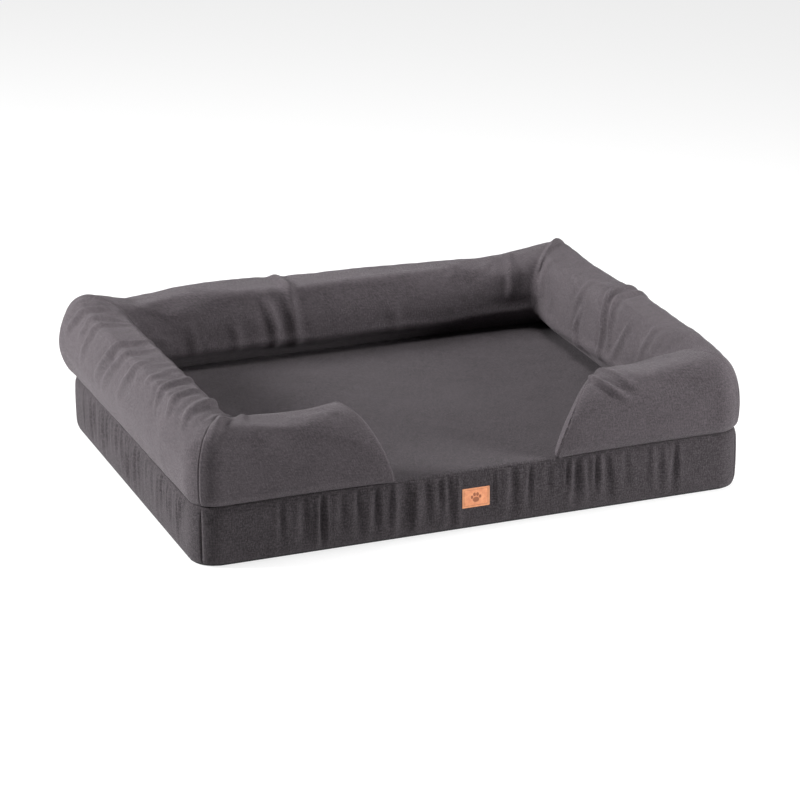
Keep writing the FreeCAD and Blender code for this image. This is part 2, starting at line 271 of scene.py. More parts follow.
def woven(name, colour, pitch=1.15 * MM, bump=0.35 * MM, slub=0.5, heather=0.28, sheen=0.12):
    """Plain woven cloth: warp and weft threads over and under each other, slubs, heathered yarns, and painted shade
    in the gaps between the threads.
    It reads the weave map, which is in metres."""
    material, tree, shader = new_material(name, Roughness=0.92, Sheen_Weight=sheen, Sheen_Roughness=0.45,
                                          Specular_IOR_Level=0.18)
    shader.inputs["Sheen Tint"].default_value = (0.86, 0.82, 0.86, 1)
    cloth = add_node(tree, "UVMap", {"uv_map": "weave"}).outputs[0]
    wobble = add_node(tree, "TexNoise", None, Vector=cloth, Scale=90.0, Detail=1.0).outputs["Color"]
    centred = add_node(tree, "VectorMath", {"operation": "SUBTRACT"}, s0=wobble, s1=(0.5, 0.5, 0.5)).outputs[0]
    drift = add_node(tree, "VectorMath", {"operation": "SCALE"}, s0=centred, Scale=1.2 * MM).outputs[0]
    cloth = add_node(tree, "VectorMath", {"operation": "ADD"}, s0=cloth, s1=drift).outputs[0]
    axes = add_node(tree, "SeparateXYZ", None, Vector=cloth)
    turn = math.pi / pitch
    warp = math_node(tree, "SINE", math_node(tree, "MULTIPLY", axes.outputs[0], turn))
    weft = math_node(tree, "SINE", math_node(tree, "MULTIPLY", axes.outputs[1], turn))
    over = remap(tree, math_node(tree, "MULTIPLY", warp, weft), -0.12, 0.12, 0.0, 1.0)
    warp_high = math_node(tree, "ABSOLUTE", warp)
    weft_high = math_node(tree, "ABSOLUTE", weft)
    gap = math_node(tree, "SUBTRACT", warp_high, weft_high)
    thread = math_node(tree, "MULTIPLY_ADD", over, gap, weft_high)
    long_slub = noise_of(tree, scaled(tree, cloth, (900.0, 55.0, 1.0)), 1.0, 2.0)
    cross_slub = noise_of(tree, scaled(tree, cloth, (60.0, 820.0, 1.0)), 1.0, 2.0)
    slubs = math_node(tree, "ADD", long_slub, cross_slub)
    relief = math_node(tree, "MULTIPLY_ADD", slubs, slub * 2.2, thread)
    fleck = noise_of(tree, cloth, 430.0, 3.0, 0.65)
    blotch = noise_of(tree, cloth, 14.0, 3.0)
    lit = tuple(c * (1 + heather * 1.5) for c in colour) + (1,)
    dim = tuple(c * (1 - heather) for c in colour) + (1,)
    dark = tuple(c * (1 - 1.9 * heather) for c in colour) + (1,)
    yarns = remap(tree, slubs, 0.78, 1.22, 0.0, 1.0)
    base = mix_colour(tree, yarns, dim, lit)
    flecked = mix_colour(tree, remap(tree, fleck, 0.52, 0.72, 0.0, 0.45), base, lit)
    mottle = noise_of(tree, scaled(tree, cloth, (420.0, 240.0, 1.0)), 1.0, 3.0, 0.6)
    mottled = mix_colour(tree, remap(tree, mottle, 0.38, 0.62, 0.0, 0.7), flecked, dark)
    worn = mix_colour(tree, remap(tree, blotch, 0.3, 0.7, 0.0, 0.2), mottled, lit)
    # Painted shade: the colour darkens towards near black in the gaps between the threads.
    painted_gap_shade = mix_colour(tree, remap(tree, thread, 0.0, 0.55, 0.35, 0.0), worn, (0.02, 0.018, 0.02, 1), "MIX")
    tree.links.new(painted_gap_shade, shader.inputs["Base Color"])
    tree.links.new(remap(tree, relief, 0.0, 2.0, 0.97, 0.86), shader.inputs["Roughness"])
    height = add_node(tree, "Bump", None, Strength=0.9, Distance=bump, Height=relief)
    tree.links.new(height.outputs[0], shader.inputs["Normal"])
    return material


CHARCOAL = (0.082, 0.070, 0.077)
COVER = woven("charcoal_linen", CHARCOAL)
# Painted shade: the well's panel and the boxing take the same charcoal linen at two thirds of its brightness, a
# darker copy that stands in for the shade on the flat cloth.
PANEL_PAINTED_SHADE = woven("charcoal_linen_panels_painted_shade", tuple(0.66 * c for c in CHARCOAL), heather=0.4, sheen=0.08)
UNDER = woven("black_grip_cloth", (0.035, 0.034, 0.036), pitch=0.9 * MM, slub=0.1, heather=0.15, sheen=0.1)


def speckled(name, colour, spread, cell, bump, roughness=0.9, stretch=(1.0, 1.0, 1.0), **values):
    """A grained finish on object coordinates: colour and height both follow cells and noise of one size."""
    material, tree, shader = new_material(name, Roughness=roughness, **values)
    where = scaled(tree, add_node(tree, "TexCoord").outputs["Object"], stretch)
    cells = add_node(tree, "TexVoronoi", None, Vector=where, Scale=1 / cell).outputs["Distance"]
    grain = noise_of(tree, where, 0.6 / cell, 4.0, 0.6)
    light = tuple(min(1, c * (1 + spread)) for c in colour) + (1,)
    dark = tuple(c * (1 - spread) for c in colour) + (1,)
    both = math_node(tree, "MULTIPLY_ADD", cells, 0.5, grain)
    tree.links.new(mix_colour(tree, remap(tree, both, 0.45, 1.0, 0.0, 1.0), dark, light),
                   shader.inputs["Base Color"])
    tree.links.new(remap(tree, grain, 0.3, 0.7, roughness * 0.92, min(1, roughness * 1.06)),
                   shader.inputs["Roughness"])
    height = add_node(tree, "Bump", None, Strength=0.6, Distance=bump, Height=both)
    tree.links.new(height.outputs[0], shader.inputs["Normal"])
    return material


def leather():
    """Tan leather: fine pores, soft blotches, a darker pressed mark and a paler cut edge."""
    material, tree, shader = new_material("tan_leather", Specular_IOR_Level=0.4)
    where = add_node(tree, "UVMap", {"uv_map": "weave"}).outputs[0]
    pores = add_node(tree, "TexVoronoi", None, Vector=where, Scale=1500.0).outputs["Distance"]
    cloud = noise_of(tree, where, 120.0, 4.0, 0.6)
    pressed = add_node(tree, "Attribute", {"attribute_name": "pressed"}).outputs["Fac"]
    rim = add_node(tree, "Attribute", {"attribute_name": "rim"}).outputs["Fac"]
    base = mix_colour(tree, remap(tree, cloud, 0.35, 0.65, 0.0, 1.0), (0.68, 0.25, 0.12, 1),
                      (0.84, 0.36, 0.18, 1))
    marked = mix_colour(tree, math_node(tree, "MULTIPLY", pressed, 0.85), base, (0.24, 0.07, 0.03, 1))
    edged = mix_colour(tree, math_node(tree, "MULTIPLY", rim, 0.45), marked, (0.72, 0.42, 0.25, 1))
    tree.links.new(edged, shader.inputs["Base Color"])
    tree.links.new(remap(tree, cloud, 0.3, 0.7, 0.5, 0.66), shader.inputs["Roughness"])
    height = add_node(tree, "Bump", None, Strength=0.5, Distance=0.12 * MM, Height=pores)
    tree.links.new(height.outputs[0], shader.inputs["Normal"])
    return material


LEATHER = leather()
THREAD = speckled("tan_thread", (0.55, 0.36, 0.22), 0.15, 0.3 * MM, 0.05 * MM)
RUBBER = speckled("black_rubber", (0.03, 0.03, 0.031), 0.2, 0.8 * MM, 0.03 * MM, 0.6)
TAPE = woven("black_zip_tape", (0.03, 0.028, 0.031), pitch=0.6 * MM, bump=0.15 * MM, slub=0.1, sheen=0.1)
NYLON = speckled("black_nylon", (0.022, 0.021, 0.024), 0.2, 0.5 * MM, 0.02 * MM, 0.38)
METAL = speckled("dark_painted_metal", (0.045, 0.043, 0.048), 0.15, 0.35 * MM, 0.02 * MM, 0.36, Metallic=0.6)
FOAM_GREY = speckled("grey_foam", (0.33, 0.34, 0.35), 0.18, 1.6 * MM, 0.5 * MM)
FOAM_BLUE = speckled("blue_memory_foam", (0.42, 0.56, 0.62), 0.12, 1.1 * MM, 0.3 * MM)
FIBRE = speckled("white_fibre", (0.82, 0.82, 0.80), 0.1, 2.5 * MM, 1.0 * MM, 0.95, (1.0, 4.0, 4.0))
LINER = woven("white_liner", (0.72, 0.72, 0.70), pitch=1.0 * MM, bump=0.2 * MM, slub=0.1, heather=0.08)


# ---- the bolster -----------------------------------------------------------------------------------------
CELL = 7 * MM
SKIN = 54                           # points round the cloth that shows, from its outer seam to its inner foot
FLAT = 13                           # points across the foot that rests on the mattress
RING = SKIN + FLAT
SINK = 36 * MM                      # how much of the round section the flat foot takes away
SEAM_TUCK = 5 * MM                  # how far inside the mattress's edge the bolster is sewn on

# Along the whole bolster: its overhang past the mattress's edge, its width, its height and how far its inner foot
# is tucked under, at chosen places, in millimetres.
# Places count sides, from 0 at the front-left entry: 1, 2, 3 and 4 are the corners, and 1.5 is the left's middle.
PROFILE = [
    (0.0, -2, 118, 126, 2),
    (0.8, -1, 119, 122, 2),
    (1.0, 5, 124, 129, 2),
    (1.2, 16, 128, 139, 6),
    (1.5, 20, 129, 142, 8),
    (1.85, 25, 130, 141, 8),
    (2.0, 31, 134, 144, 10),
    (2.08, 31, 136, 135, 22),
    (2.22, 30, 138, 144, 24),
    (2.5, 27, 138, 137, 24),
    (2.8, 25, 136, 130, 22),
    (3.0, 14, 128, 143, 20),
    (3.2, 8, 128, 142, 18),
    (3.5, 7, 129, 149, 16),
    (3.85, 8, 128, 144, 10),
    (4.0, 6, 126, 134, 4),
    (4.2, 2, 121, 122, 2),
    (5.0, 0, 119, 118, 2),
]
# Each run of the bolster: its name, its side of the bed, and the way that it goes along that side.
RUNS = [
    ("front_left", "front", -1),
    ("left", "left", 1),
    ("back", "back", 1),
    ("right", "right", -1),
    ("front_right", "front", -1),
]
# A return's end: how far its foot and its tip stay from the bed's middle, and how far inward its tip is.
ENDS = {"front_left": (152 * MM, 226 * MM, 84 * MM), "front_right": (143 * MM, 256 * MM, 84 * MM)}
END_START = 325 * MM                # where a return starts to close
TIP = 0.6                           # the share of the skin before the tip


def profile(place_along):
    """Overhang, width, height and tuck of the bolster at a place along it."""
    rows = np.array(PROFILE)
    at = np.clip(np.searchsorted(rows[:, 0], place_along) - 1, 0, len(rows) - 2)
    share = smooth(rows[at, 0], rows[at + 1, 0], place_along)
    return (rows[at, 1:] + (rows[at + 1, 1:] - rows[at, 1:]) * share) * MM


def section(overhang, width, height, tuck):
    """The bolster's ring: inward and up from the mattress's top edge. A round tube that its own weight flattens
    below, pulled in to the seam at its outer foot and tucked under at its inner foot."""
    half_high = (height + SINK) / 2
    middle = (height - SINK) / 2
    foot = math.asin(middle / half_high)
    angle = np.linspace(-foot, math.pi + foot, 600)
    bulge = 2 / 2.15
    across = np.sign(np.cos(angle)) * np.abs(np.cos(angle)) ** bulge
    up = np.sign(np.sin(angle)) * np.abs(np.sin(angle)) ** bulge
    inward = -overhang + width / 2 - width / 2 * across
    rise = middle + half_high * up
    pull = np.clip(1 - rise / (0.45 * height), 0, 1) ** 2
    under = np.clip(1 - rise / (0.32 * height), 0, 1) ** 2
    low = np.clip(1 - rise / (14 * MM), 0, 1) ** 2
    inward = inward + np.where(angle < math.pi / 2, SEAM_TUCK * low - inward[0] * pull, -tuck * under)
    rise = rise - rise[0]
    rise = rise * height / rise.max()
    steps = np.concatenate([[0], np.cumsum(np.hypot(np.diff(inward), np.diff(rise)))])
    share = np.linspace(0, 1, SKIN)
    skin_in = np.interp(share, steps / steps[-1], inward)
    skin_up = np.interp(share, steps / steps[-1], rise)
    foot_in = np.linspace(skin_in[-1], skin_in[0], FLAT + 2)[1:-1]
    return np.concatenate([skin_in, foot_in]), np.concatenate([skin_up, np.zeros(FLAT)])


def stretched_along(side, t, inward):
    """The place along a side at share t of the way to its corners, for lines at each distance inward."""
    straight = straight_of(side)
    extra = line_end(side, inward) - straight
    return np.sign(t) * (abs(t) * straight + extra * smooth(0.5, 1, abs(t)))


def end_seam(run, side):
    """The knife-edged seam that closes a return: along, inward and height for each point of a ring."""
    foot, tip, tip_in = ENDS[run]
    height = 0.985 * profile(0.0 if run == "front_left" else 5.0)[2]
    share = np.linspace(0, 1, SKIN)
    up = np.where(share < TIP, share / TIP, (1 - share) / (1 - TIP))
    up = np.concatenate([up, np.zeros(FLAT)])
    turn = up * math.pi / 2
    return foot + (tip - foot) * up ** 1.2, tip_in * (1 - np.cos(turn)), height * np.sin(turn)


def run_rings(number):
    """The rings of one run: for each, its along, inward and height at every point, in the order of travel."""
    run, side, way = RUNS[number]
    rings = []
    first = -1.0
    if run in ENDS:
        first = END_START / straight_of(side)
    count = round((1 - first) * straight_of(side) / CELL)
    for i in range(count + 1):
        t = first + (1 - first) * i / count
        at = number + (t + 1) / 2 if way_out(run) else number + 1 - (t + 1) / 2
        inward, up = section(*profile(at))
        rings.append((stretched_along(side, t, inward), inward, up))
    if run in ENDS:
        seam_along, seam_in, seam_up = end_seam(run, side)
        start_along, start_in, start_up = rings[0]
        steps = round((END_START - ENDS[run][0]) / CELL)
        closing = []
        for i in range(1, steps + 1):
            share = i / steps
            close = 1 - (1 - share ** 2.0) ** 0.62
            along = start_along + (seam_along - start_along) * share
            closing.append((along, start_in + (seam_in - start_in) * close,
                            start_up + (seam_up - start_up) * close))
        rings = closing[::-1] + rings
    if not way_out(run):
        rings = rings[::-1]
    return rings


def way_out(run):
    """True where a run's rings are made from its start in the order of travel."""
    return run != "front_right"


def lay_bolster():
    """The whole bolster as one grid, a ring to a row, and for each run its first and last row."""
    points, spans, alongs, girths = [], {}, [], []
    for number, (run, side, way) in enumerate(RUNS):
        rings = run_rings(number)
        if number:
            rings = rings[1:]
        first = max(0, len(points) - 1)
        for along, inward, up in rings:
            sign = -1 if run == "front_left" else 1
            if run in ("right",):
                sign = -1
            points.append(place(side, sign * along, inward, TOP + up))
        spans[run] = (first, len(points) - 1)
    return np.array(points), spans


GRID, SPANS = lay_bolster()


def wrap_faces(rows):
    """Quads of closed rings, facing out."""
    faces = []
    for i in range(rows - 1):
        for j in range(RING):
            k = (j + 1) % RING
            faces.append((i * RING + j, (i + 1) * RING + j, (i + 1) * RING + k, i * RING + k))
    return faces


def travel(points):
    """How far along the bolster each point is."""
    steps = np.linalg.norm(np.diff(points, axis=0), axis=-1)
    return np.concatenate([np.zeros((1, points.shape[1])), np.cumsum(steps, 0)], 0)


CLOSED = 2                          # rings at each end that the simulation leaves, because they close to a line


def swell(grid, skip, frames=24, pressure=2.0, cap=6 * MM):
    """Cloth simulation of the stuffed bolster: the foot, its seam and the ends stay, the rest fills out and
    takes up its spare cloth in creases."""
    points = grid[skip:-skip]
    sim = new_object("bolster_simulation", points.reshape(-1, 3), wrap_faces(len(points)))
    pinned = np.zeros(points.shape[:2])
    pinned[:, SKIN:] = 1
    pinned[:, 0] = 1
    pinned[:, SKIN - 1] = 1
    pinned[:2] = 1
    pinned[-2:] = 1
    for run in ("left", "back", "right", "front_right"):
        mitre = SPANS[run][0] - skip
        pinned[mitre] = np.maximum(pinned[mitre], 0.2)
    group = sim.vertex_groups.new(name="pinned")
    for step in range(1, 11):
        group.add(np.nonzero(np.round(pinned.ravel() * 10) == step)[0].tolist(), step / 10, "REPLACE")
    cloth = sim.modifiers.new("cloth", "CLOTH")
    settings = cloth.settings
    settings.vertex_group_mass = "pinned"
    settings.use_pressure = True
    settings.uniform_pressure_force = pressure
    settings.effector_weights.gravity = 0
    settings.quality = 8
    settings.tension_stiffness = 80
    settings.compression_stiffness = 80
    settings.shear_stiffness = 20
    settings.bending_stiffness = 0.1
    settings.air_damping = 2
    cloth.collision_settings.use_collision = False
    cloth.point_cache.frame_end = frames
    scene = bpy.context.scene
    for frame_number in range(1, frames + 1):
        scene.frame_set(frame_number)
    graph = bpy.context.evaluated_depsgraph_get()
    moved = np.empty(points.size)
    sim.evaluated_get(graph).data.vertices.foreach_get("co", moved)
    moved = moved.reshape(points.shape) - points
    bpy.data.objects.remove(sim)
    scene.frame_set(1)
    print("moved, mm:", np.percentile(np.linalg.norm(moved, axis=-1) / MM, (50, 90, 99, 100)).round(2))
    broad = blurred(moved, 4)
    fine = moved - broad
    print("fine, mm:", np.percentile(np.linalg.norm(fine, axis=-1) / MM, (50, 90, 99, 100)).round(2))
    return points + capped(broad, cap) + capped(0.6 * fine, cap)


def capped(moved, cap):
    """Moves that come no further than the cap, and hardly change where they are short."""
    far = np.linalg.norm(moved, axis=-1, keepdims=True)
    return moved * np.where(far > 0, cap * np.tanh(far / cap) / np.maximum(far, 1e-9), 1)


def blurred(moved, spread):
    """The moves averaged over a few cells along the bolster and round it."""
    reach = np.arange(-3 * spread, 3 * spread + 1)
    weights = np.exp(-(reach / spread) ** 2 / 2)
    weights /= weights.sum()
    around = sum(w * np.roll(moved, k, 1) for k, w in zip(reach, weights))
    padded = np.concatenate([np.repeat(around[:1], len(reach) // 2, 0), around,
                             np.repeat(around[-1:], len(reach) // 2, 0)])
    return sum(w * padded[i:i + len(moved)] for i, w in enumerate(weights))


GRID[CLOSED:-CLOSED] = swell(GRID, CLOSED)


def girths(points):
    """How far round each ring every point is, closed by the ring's whole girth."""
    closed = np.concatenate([points, points[:, :1]], 1)
    steps = np.linalg.norm(np.diff(closed, axis=1), axis=-1)
    return np.concatenate([np.zeros((len(points), 1)), np.cumsum(steps, 1)], 1)


# Creases of each run. Each is a line of places, as metres along the side and the share of the skin from the
# outer seam to the inner foot, then the crease's depth and half width in millimetres.
CREASES = {
    "front_left": [
        ([(-0.458, 0.42), (-0.438, 0.50), (-0.412, 0.60)], 4.5, 6),
        ([(-0.470, 0.34), (-0.446, 0.44), (-0.428, 0.55)], 3.5, 6),
        ([(-0.400, 0.47), (-0.392, 0.55), (-0.388, 0.62)], 2.5, 6),
    ],
    "left": [
        ([(0.318, 0.28), (0.302, 0.38), (0.288, 0.45), (0.280, 0.52), (0.245, 0.60)], 5.0, 7),
        ([(0.262, 0.30), (0.252, 0.38), (0.240, 0.47), (0.218, 0.58)], 3.5, 6),
        ([(0.231, 0.22), (0.217, 0.34), (0.202, 0.45), (0.196, 0.56)], 4.0, 7),
        ([(0.140, 0.22), (0.097, 0.36), (0.084, 0.49), (0.090, 0.60)], 5.5, 8),
        ([(0.105, 0.19), (0.049, 0.36), (0.033, 0.47), (0.040, 0.58)], 4.5, 7),
        ([(0.021, 0.21), (-0.014, 0.34), (-0.028, 0.47)], 3.5, 8),
        ([(-0.095, 0.36), (-0.090, 0.46), (-0.070, 0.56)], 2.5, 8),
        ([(-0.160, 0.32), (-0.150, 0.43), (-0.126, 0.55), (-0.112, 0.62)], 4.5, 7),
        ([(-0.228, 0.34), (-0.205, 0.45), (-0.176, 0.58)], 4.5, 7),
        ([(-0.288, 0.36), (-0.255, 0.49), (-0.212, 0.66)], 4.5, 7),
        ([(-0.320, 0.46), (-0.292, 0.57), (-0.262, 0.72)], 4.0, 6),
    ],
    "back": [
        ([(-0.150, 0.63), (-0.140, 0.72), (-0.133, 0.79), (-0.135, 0.90)], 6.0, 8),
        ([(-0.106, 0.36), (-0.098, 0.50), (-0.099, 0.66), (-0.096, 0.76), (-0.090, 0.92)], 6.0, 9),
        ([(-0.292, 0.72), (-0.288, 0.80), (-0.290, 0.88)], 2.5, 9),
        ([(-0.212, 0.74), (-0.206, 0.82), (-0.208, 0.90)], 2.5, 9),
        ([(0.100, 0.74), (0.104, 0.82), (0.100, 0.90)], 2.5, 9),
        ([(0.226, 0.48), (0.232, 0.56), (0.230, 0.64)], 2.0, 8),
        ([(0.350, 0.50), (0.341, 0.66), (0.336, 0.78)], 4.0, 7),
    ],
    "right": [
        ([(0.262, 0.52), (0.258, 0.66), (0.250, 0.80)], 2.5, 8),
        ([(0.108, 0.74), (0.092, 0.62), (0.092, 0.48)], 3.0, 8),
        ([(0.078, 0.72), (0.084, 0.82), (0.070, 0.89), (0.052, 0.97)], 6.5, 6),
        ([(0.006, 0.28), (0.022, 0.41), (0.014, 0.53), (-0.012, 0.63), (-0.026, 0.74), (-0.024, 0.93)], 6.5, 6),
        ([(-0.034, 0.30), (-0.016, 0.42), (-0.020, 0.54), (-0.044, 0.64), (-0.058, 0.78)], 5.5, 6),
        ([(-0.070, 0.86), (-0.100, 0.74), (-0.112, 0.62)], 3.0, 7),
        ([(-0.177, 0.78), (-0.191, 0.62), (-0.197, 0.46)], 2.5, 8),
    ],
    "front_right": [
        ([(0.226, 0.56), (0.237, 0.42), (0.254, 0.34), (0.280, 0.28)], 7.0, 5),
        ([(0.258, 0.60), (0.266, 0.48), (0.280, 0.38), (0.300, 0.33)], 3.5, 6),
    ],
}
# How deep the seam is at each corner, in millimetres, by the run that ends there.
MITRES = {"front_left": 0.4, "left": 3.5, "back": 7.0, "right": 1.6}
# How strong each run's creases are, and the depth of its small wrinkles over the crown, in millimetres.
DEPTHS = {"front_left": 1.2, "left": 1.3, "back": 1.1, "right": 1.0, "front_right": 1.0}
WRINKLES = {"front_left": 0.5, "left": 1.5, "back": 0.6, "right": 0.9, "front_right": 0.5}
SKIN_LENGTH = 0.33
CEILING = CAD_BOX[1].z + 11 * MM  # the crowns stay near the CAD's height


def crease_depth(along, share, line, width):
    """How deep each point lies in a crease with rounded lips: -1 in its middle, up to 0.35 on its lips."""
    at = np.stack([along, share * SKIN_LENGTH], -1)
    ends = np.array([(a, s * SKIN_LENGTH) for a, s in line])
    lengths = np.linalg.norm(np.diff(ends, axis=0), axis=1)
    total = lengths.sum()
    before = 0.0
    nearest = np.full(len(at), 1e9)
    taper = np.zeros(len(at))
    for start, end, length in zip(ends[:-1], ends[1:], lengths):
        part = np.clip((at - start) @ (end - start) / length ** 2, 0, 1)
        apart = np.linalg.norm(at - start - part[:, None] * (end - start), axis=1)
        closer = apart < nearest
        nearest = np.where(closer, apart, nearest)
        taper = np.where(closer, np.sin(math.pi * np.clip((before + part * length) / total, 0.02, 0.98)), taper)
        before += length
    groove = -np.exp(-(nearest / width) ** 2)
    lips = 0.3 * np.exp(-((nearest - 2.1 * width) / (1.1 * width)) ** 2)
    return (groove + lips) * np.sqrt(taper)


def make_sleeve(number):
    """One run of the bolster's sleeve, with its mitre seams, creases and weave map."""
    run, side, _ = RUNS[number]
    first, last = SPANS[run]
    points = GRID[first:last + 1]
    rows = len(points)
    sleeve = new_object("sleeve_" + run, points.reshape(-1, 3), wrap_faces(rows))
    girth = girths(points)
    along = travel(points)
    uv = sleeve.data.uv_layers.new(name="weave")
    values = []
    for i in range(rows - 1):
        for j in range(RING):
            k = (j + 1) % RING
            values += [(along[i, j], girth[i, j]), (along[i + 1, j], girth[i + 1, j]),
                       (along[i + 1, k], girth[i + 1, j + 1]), (along[i, k], girth[i, j + 1])]
    uv.data.foreach_set("uv", np.array(values, np.float32).ravel())
    _, run_way, _, _ = SIDES[side]
    add_layer(sleeve, "along", points[..., 0] * run_way[0] + points[..., 1] * run_way[1])
    share = np.concatenate([np.linspace(0, 1, SKIN), np.linspace(1, 0, FLAT + 2)[1:-1]])
    add_layer(sleeve, "share", np.tile(share, rows))
    add_layer(sleeve, "row", np.repeat(np.arange(rows), RING))
    bm = bmesh.new()
    bm.from_mesh(sleeve.data)
    bmesh.ops.remove_doubles(bm, verts=bm.verts, dist=0.02 * MM)
    bm.to_mesh(sleeve.data)
    bm.free()
    subdivide(sleeve)
    points = coordinates(sleeve)
    along, share, row = layer(sleeve, "along"), layer(sleeve, "share"), layer(sleeve, "row")
    free = smooth(TOP + 2 * MM, TOP + 14 * MM, points[:, 2])
    out = np.zeros(len(points))
    for line, depth, width in CREASES[run]:
        out += DEPTHS[run] * depth * MM * crease_depth(along, share, line, width * MM)
    for end, run_there in ((0, number - 1), (rows - 1, number)):
        if not 0 <= run_there < len(RUNS) - 1:
            continue
        off = np.abs(row - end) * CELL
        deep = MITRES[RUNS[run_there][0]]
        out += 0.17 * deep * MM * np.exp(-((off - 8 * MM) / (6 * MM)) ** 2)
        out -= deep * MM * np.exp(-(off / (2 * MM + deep * MM)) ** 2)
    out += 0.9 * MM * ripple(points, 0.045, 5 + number)
    stretched = points.copy()
    stretched[:, 0 if side in ("left", "right") else 1] *= 0.3
    crown = smooth(0.22, 0.36, share) * (1 - smooth(0.56, 0.72, share))
    out += WRINKLES[run] * MM * ripple(stretched, 0.017, 20 + number) * crown
    moved = points + normals(sleeve) * (out * free)[:, None]
    moved[:, 2] = np.maximum(moved[:, 2], TOP + 0.3 * MM)
    over = np.maximum(moved[:, 2] - CEILING, 0)
    moved[:, 2] -= over - 6 * MM * np.tanh(over / (6 * MM)) * 0.5
    set_coordinates(sleeve, moved)
    thicken(sleeve, CLOTH)
    finish_piece(sleeve, COVER, ["bolster_sleeve_" + run])
    return sleeve


def make_fill(number):
    """The stuffing inside one run, a closed form a little inside its sleeve."""
    run = RUNS[number][0]
    first, last = SPANS[run]
    points = GRID[first:last + 1]
    if run == "front_left":
        points = points[4:]
    if run == "front_right":
        points = points[:-4]
    middles = points.mean(1, keepdims=True)
    core = middles + (points - middles) * 0.93
    shift = (core[1] - core[0]).mean(0)
    core[0] += shift * 0.8
    core[-1] += (core[-2] - core[-1]).mean(0) * 0.8
    core[..., 2] = np.maximum(core[..., 2], TOP + 3 * MM)
    rows = len(core)
    verts = np.concatenate([core.reshape(-1, 3), core[0].mean(0)[None], core[-1].mean(0)[None]])
    faces = wrap_faces(rows)
    for j in range(RING):
        k = (j + 1) % RING
        faces.append((j, k, rows * RING))
        faces.append(((rows - 1) * RING + k, (rows - 1) * RING + j, rows * RING + 1))
    fill = new_object("fill_" + run, verts, faces)
    weave_map(fill, verts[:, 0] + verts[:, 1], verts[:, 2])
    finish_piece(fill, FIBRE, ["bolster_fill_" + run])


# ---- the mattress and its cover --------------------------------------------------------------------------
SEAM_DROP = 5 * MM                  # how far the cover's top and bottom seams are from the edges
SEAM_IN = 2.5 * MM
GRIP = 0.7 * MM                     # height of the base cloth's grip dots


def edge_spacing(half, step):
    """Places from -half to half that come closer together towards the ends, for a rolled edge."""
    near = np.array([0, 0.7, 1.6, 2.8, 4.4, 6.5, 9.5, 14]) * MM
    middle = np.linspace(-half + 22 * MM, half - 22 * MM, round(2 * (half - 22 * MM) / step))
    return np.concatenate([-half + near, middle, (half - near)[::-1]])


def panel_grid(half_x, half_y, corner, step=8 * MM):
    """A grid over a rectangle with round corners: places, distances inward from its edge, rows and columns."""
    xs, ys = edge_spacing(half_x, step), edge_spacing(half_y, step)
    y, x = np.meshgrid(ys, xs, indexing="ij")
    corner_x = np.maximum(np.abs(x) - (half_x - corner), 0) / corner
    corner_y = np.maximum(np.abs(y) - (half_y - corner), 0) / corner
    round_x = corner_x * np.sqrt(1 - corner_y ** 2 / 2)
    round_y = corner_y * np.sqrt(1 - corner_x ** 2 / 2)
    x = np.where(corner_x > 0, np.sign(x) * (half_x - corner + round_x * corner), x)
    y = np.where(corner_y > 0, np.sign(y) * (half_y - corner + round_y * corner), y)
    in_corner = (corner_x > 0) & (corner_y > 0)
    inward = np.minimum(half_x - np.abs(x), half_y - np.abs(y))
    inward = np.where(in_corner, corner * (1 - np.hypot(round_x, round_y)), inward)
    return x, y, np.maximum(inward, 0), len(ys), len(xs)


def roll(inward, reach, drop):
    """How far an edge that rolls over lies below its face, at a distance inward from the edge."""
    part = np.clip(inward / reach, 0, 1)
    return drop * (1 - np.sqrt(1 - (1 - part) ** 2))


def make_top_panel():
    x, y, inward, rows, columns = panel_grid(HALF_X - SEAM_IN, HALF_Y - SEAM_IN, CORNER - SEAM_IN)
    z = TOP - 0.2 * MM - roll(inward, 10 * MM, SEAM_DROP)
    flat = np.stack([x.ravel(), y.ravel(), np.zeros(x.size)], -1)
    well = smooth(0.11, 0.2, inward)
    soft = (0.5 * ripple(flat, 0.12, 1) + 0.3 * ripple(flat, 0.035, 2)).reshape(x.shape)
    z = z + (1.2 + 0.9 * soft) * MM * well + np.minimum(soft, 0) * 0.6 * MM * smooth(0, 0.03, inward)
    panel = new_object("top_panel", np.stack([x, y, z], -1).reshape(-1, 3), grid_faces(rows, columns))
    weave_map(panel, x.ravel(), y.ravel())
    thicken(panel, CLOTH)
    finish_piece(panel, PANEL_PAINTED_SHADE, ["cover_top_panel"])


def make_base_panel():
    x, y, inward, rows, columns = panel_grid(HALF_X - SEAM_IN, HALF_Y - SEAM_IN, CORNER - SEAM_IN, 16 * MM)
    z = GRIP + roll(inward, 5 * MM, SEAM_DROP - GRIP)
    panel = new_object("base_panel", np.stack([x, y, z], -1).reshape(-1, 3), grid_faces(rows, columns, True))
    weave_map(panel, x.ravel(), y.ravel())
    thicken(panel, 0.8 * MM)
    finish_piece(panel, UNDER, ["cover_base_panel"])


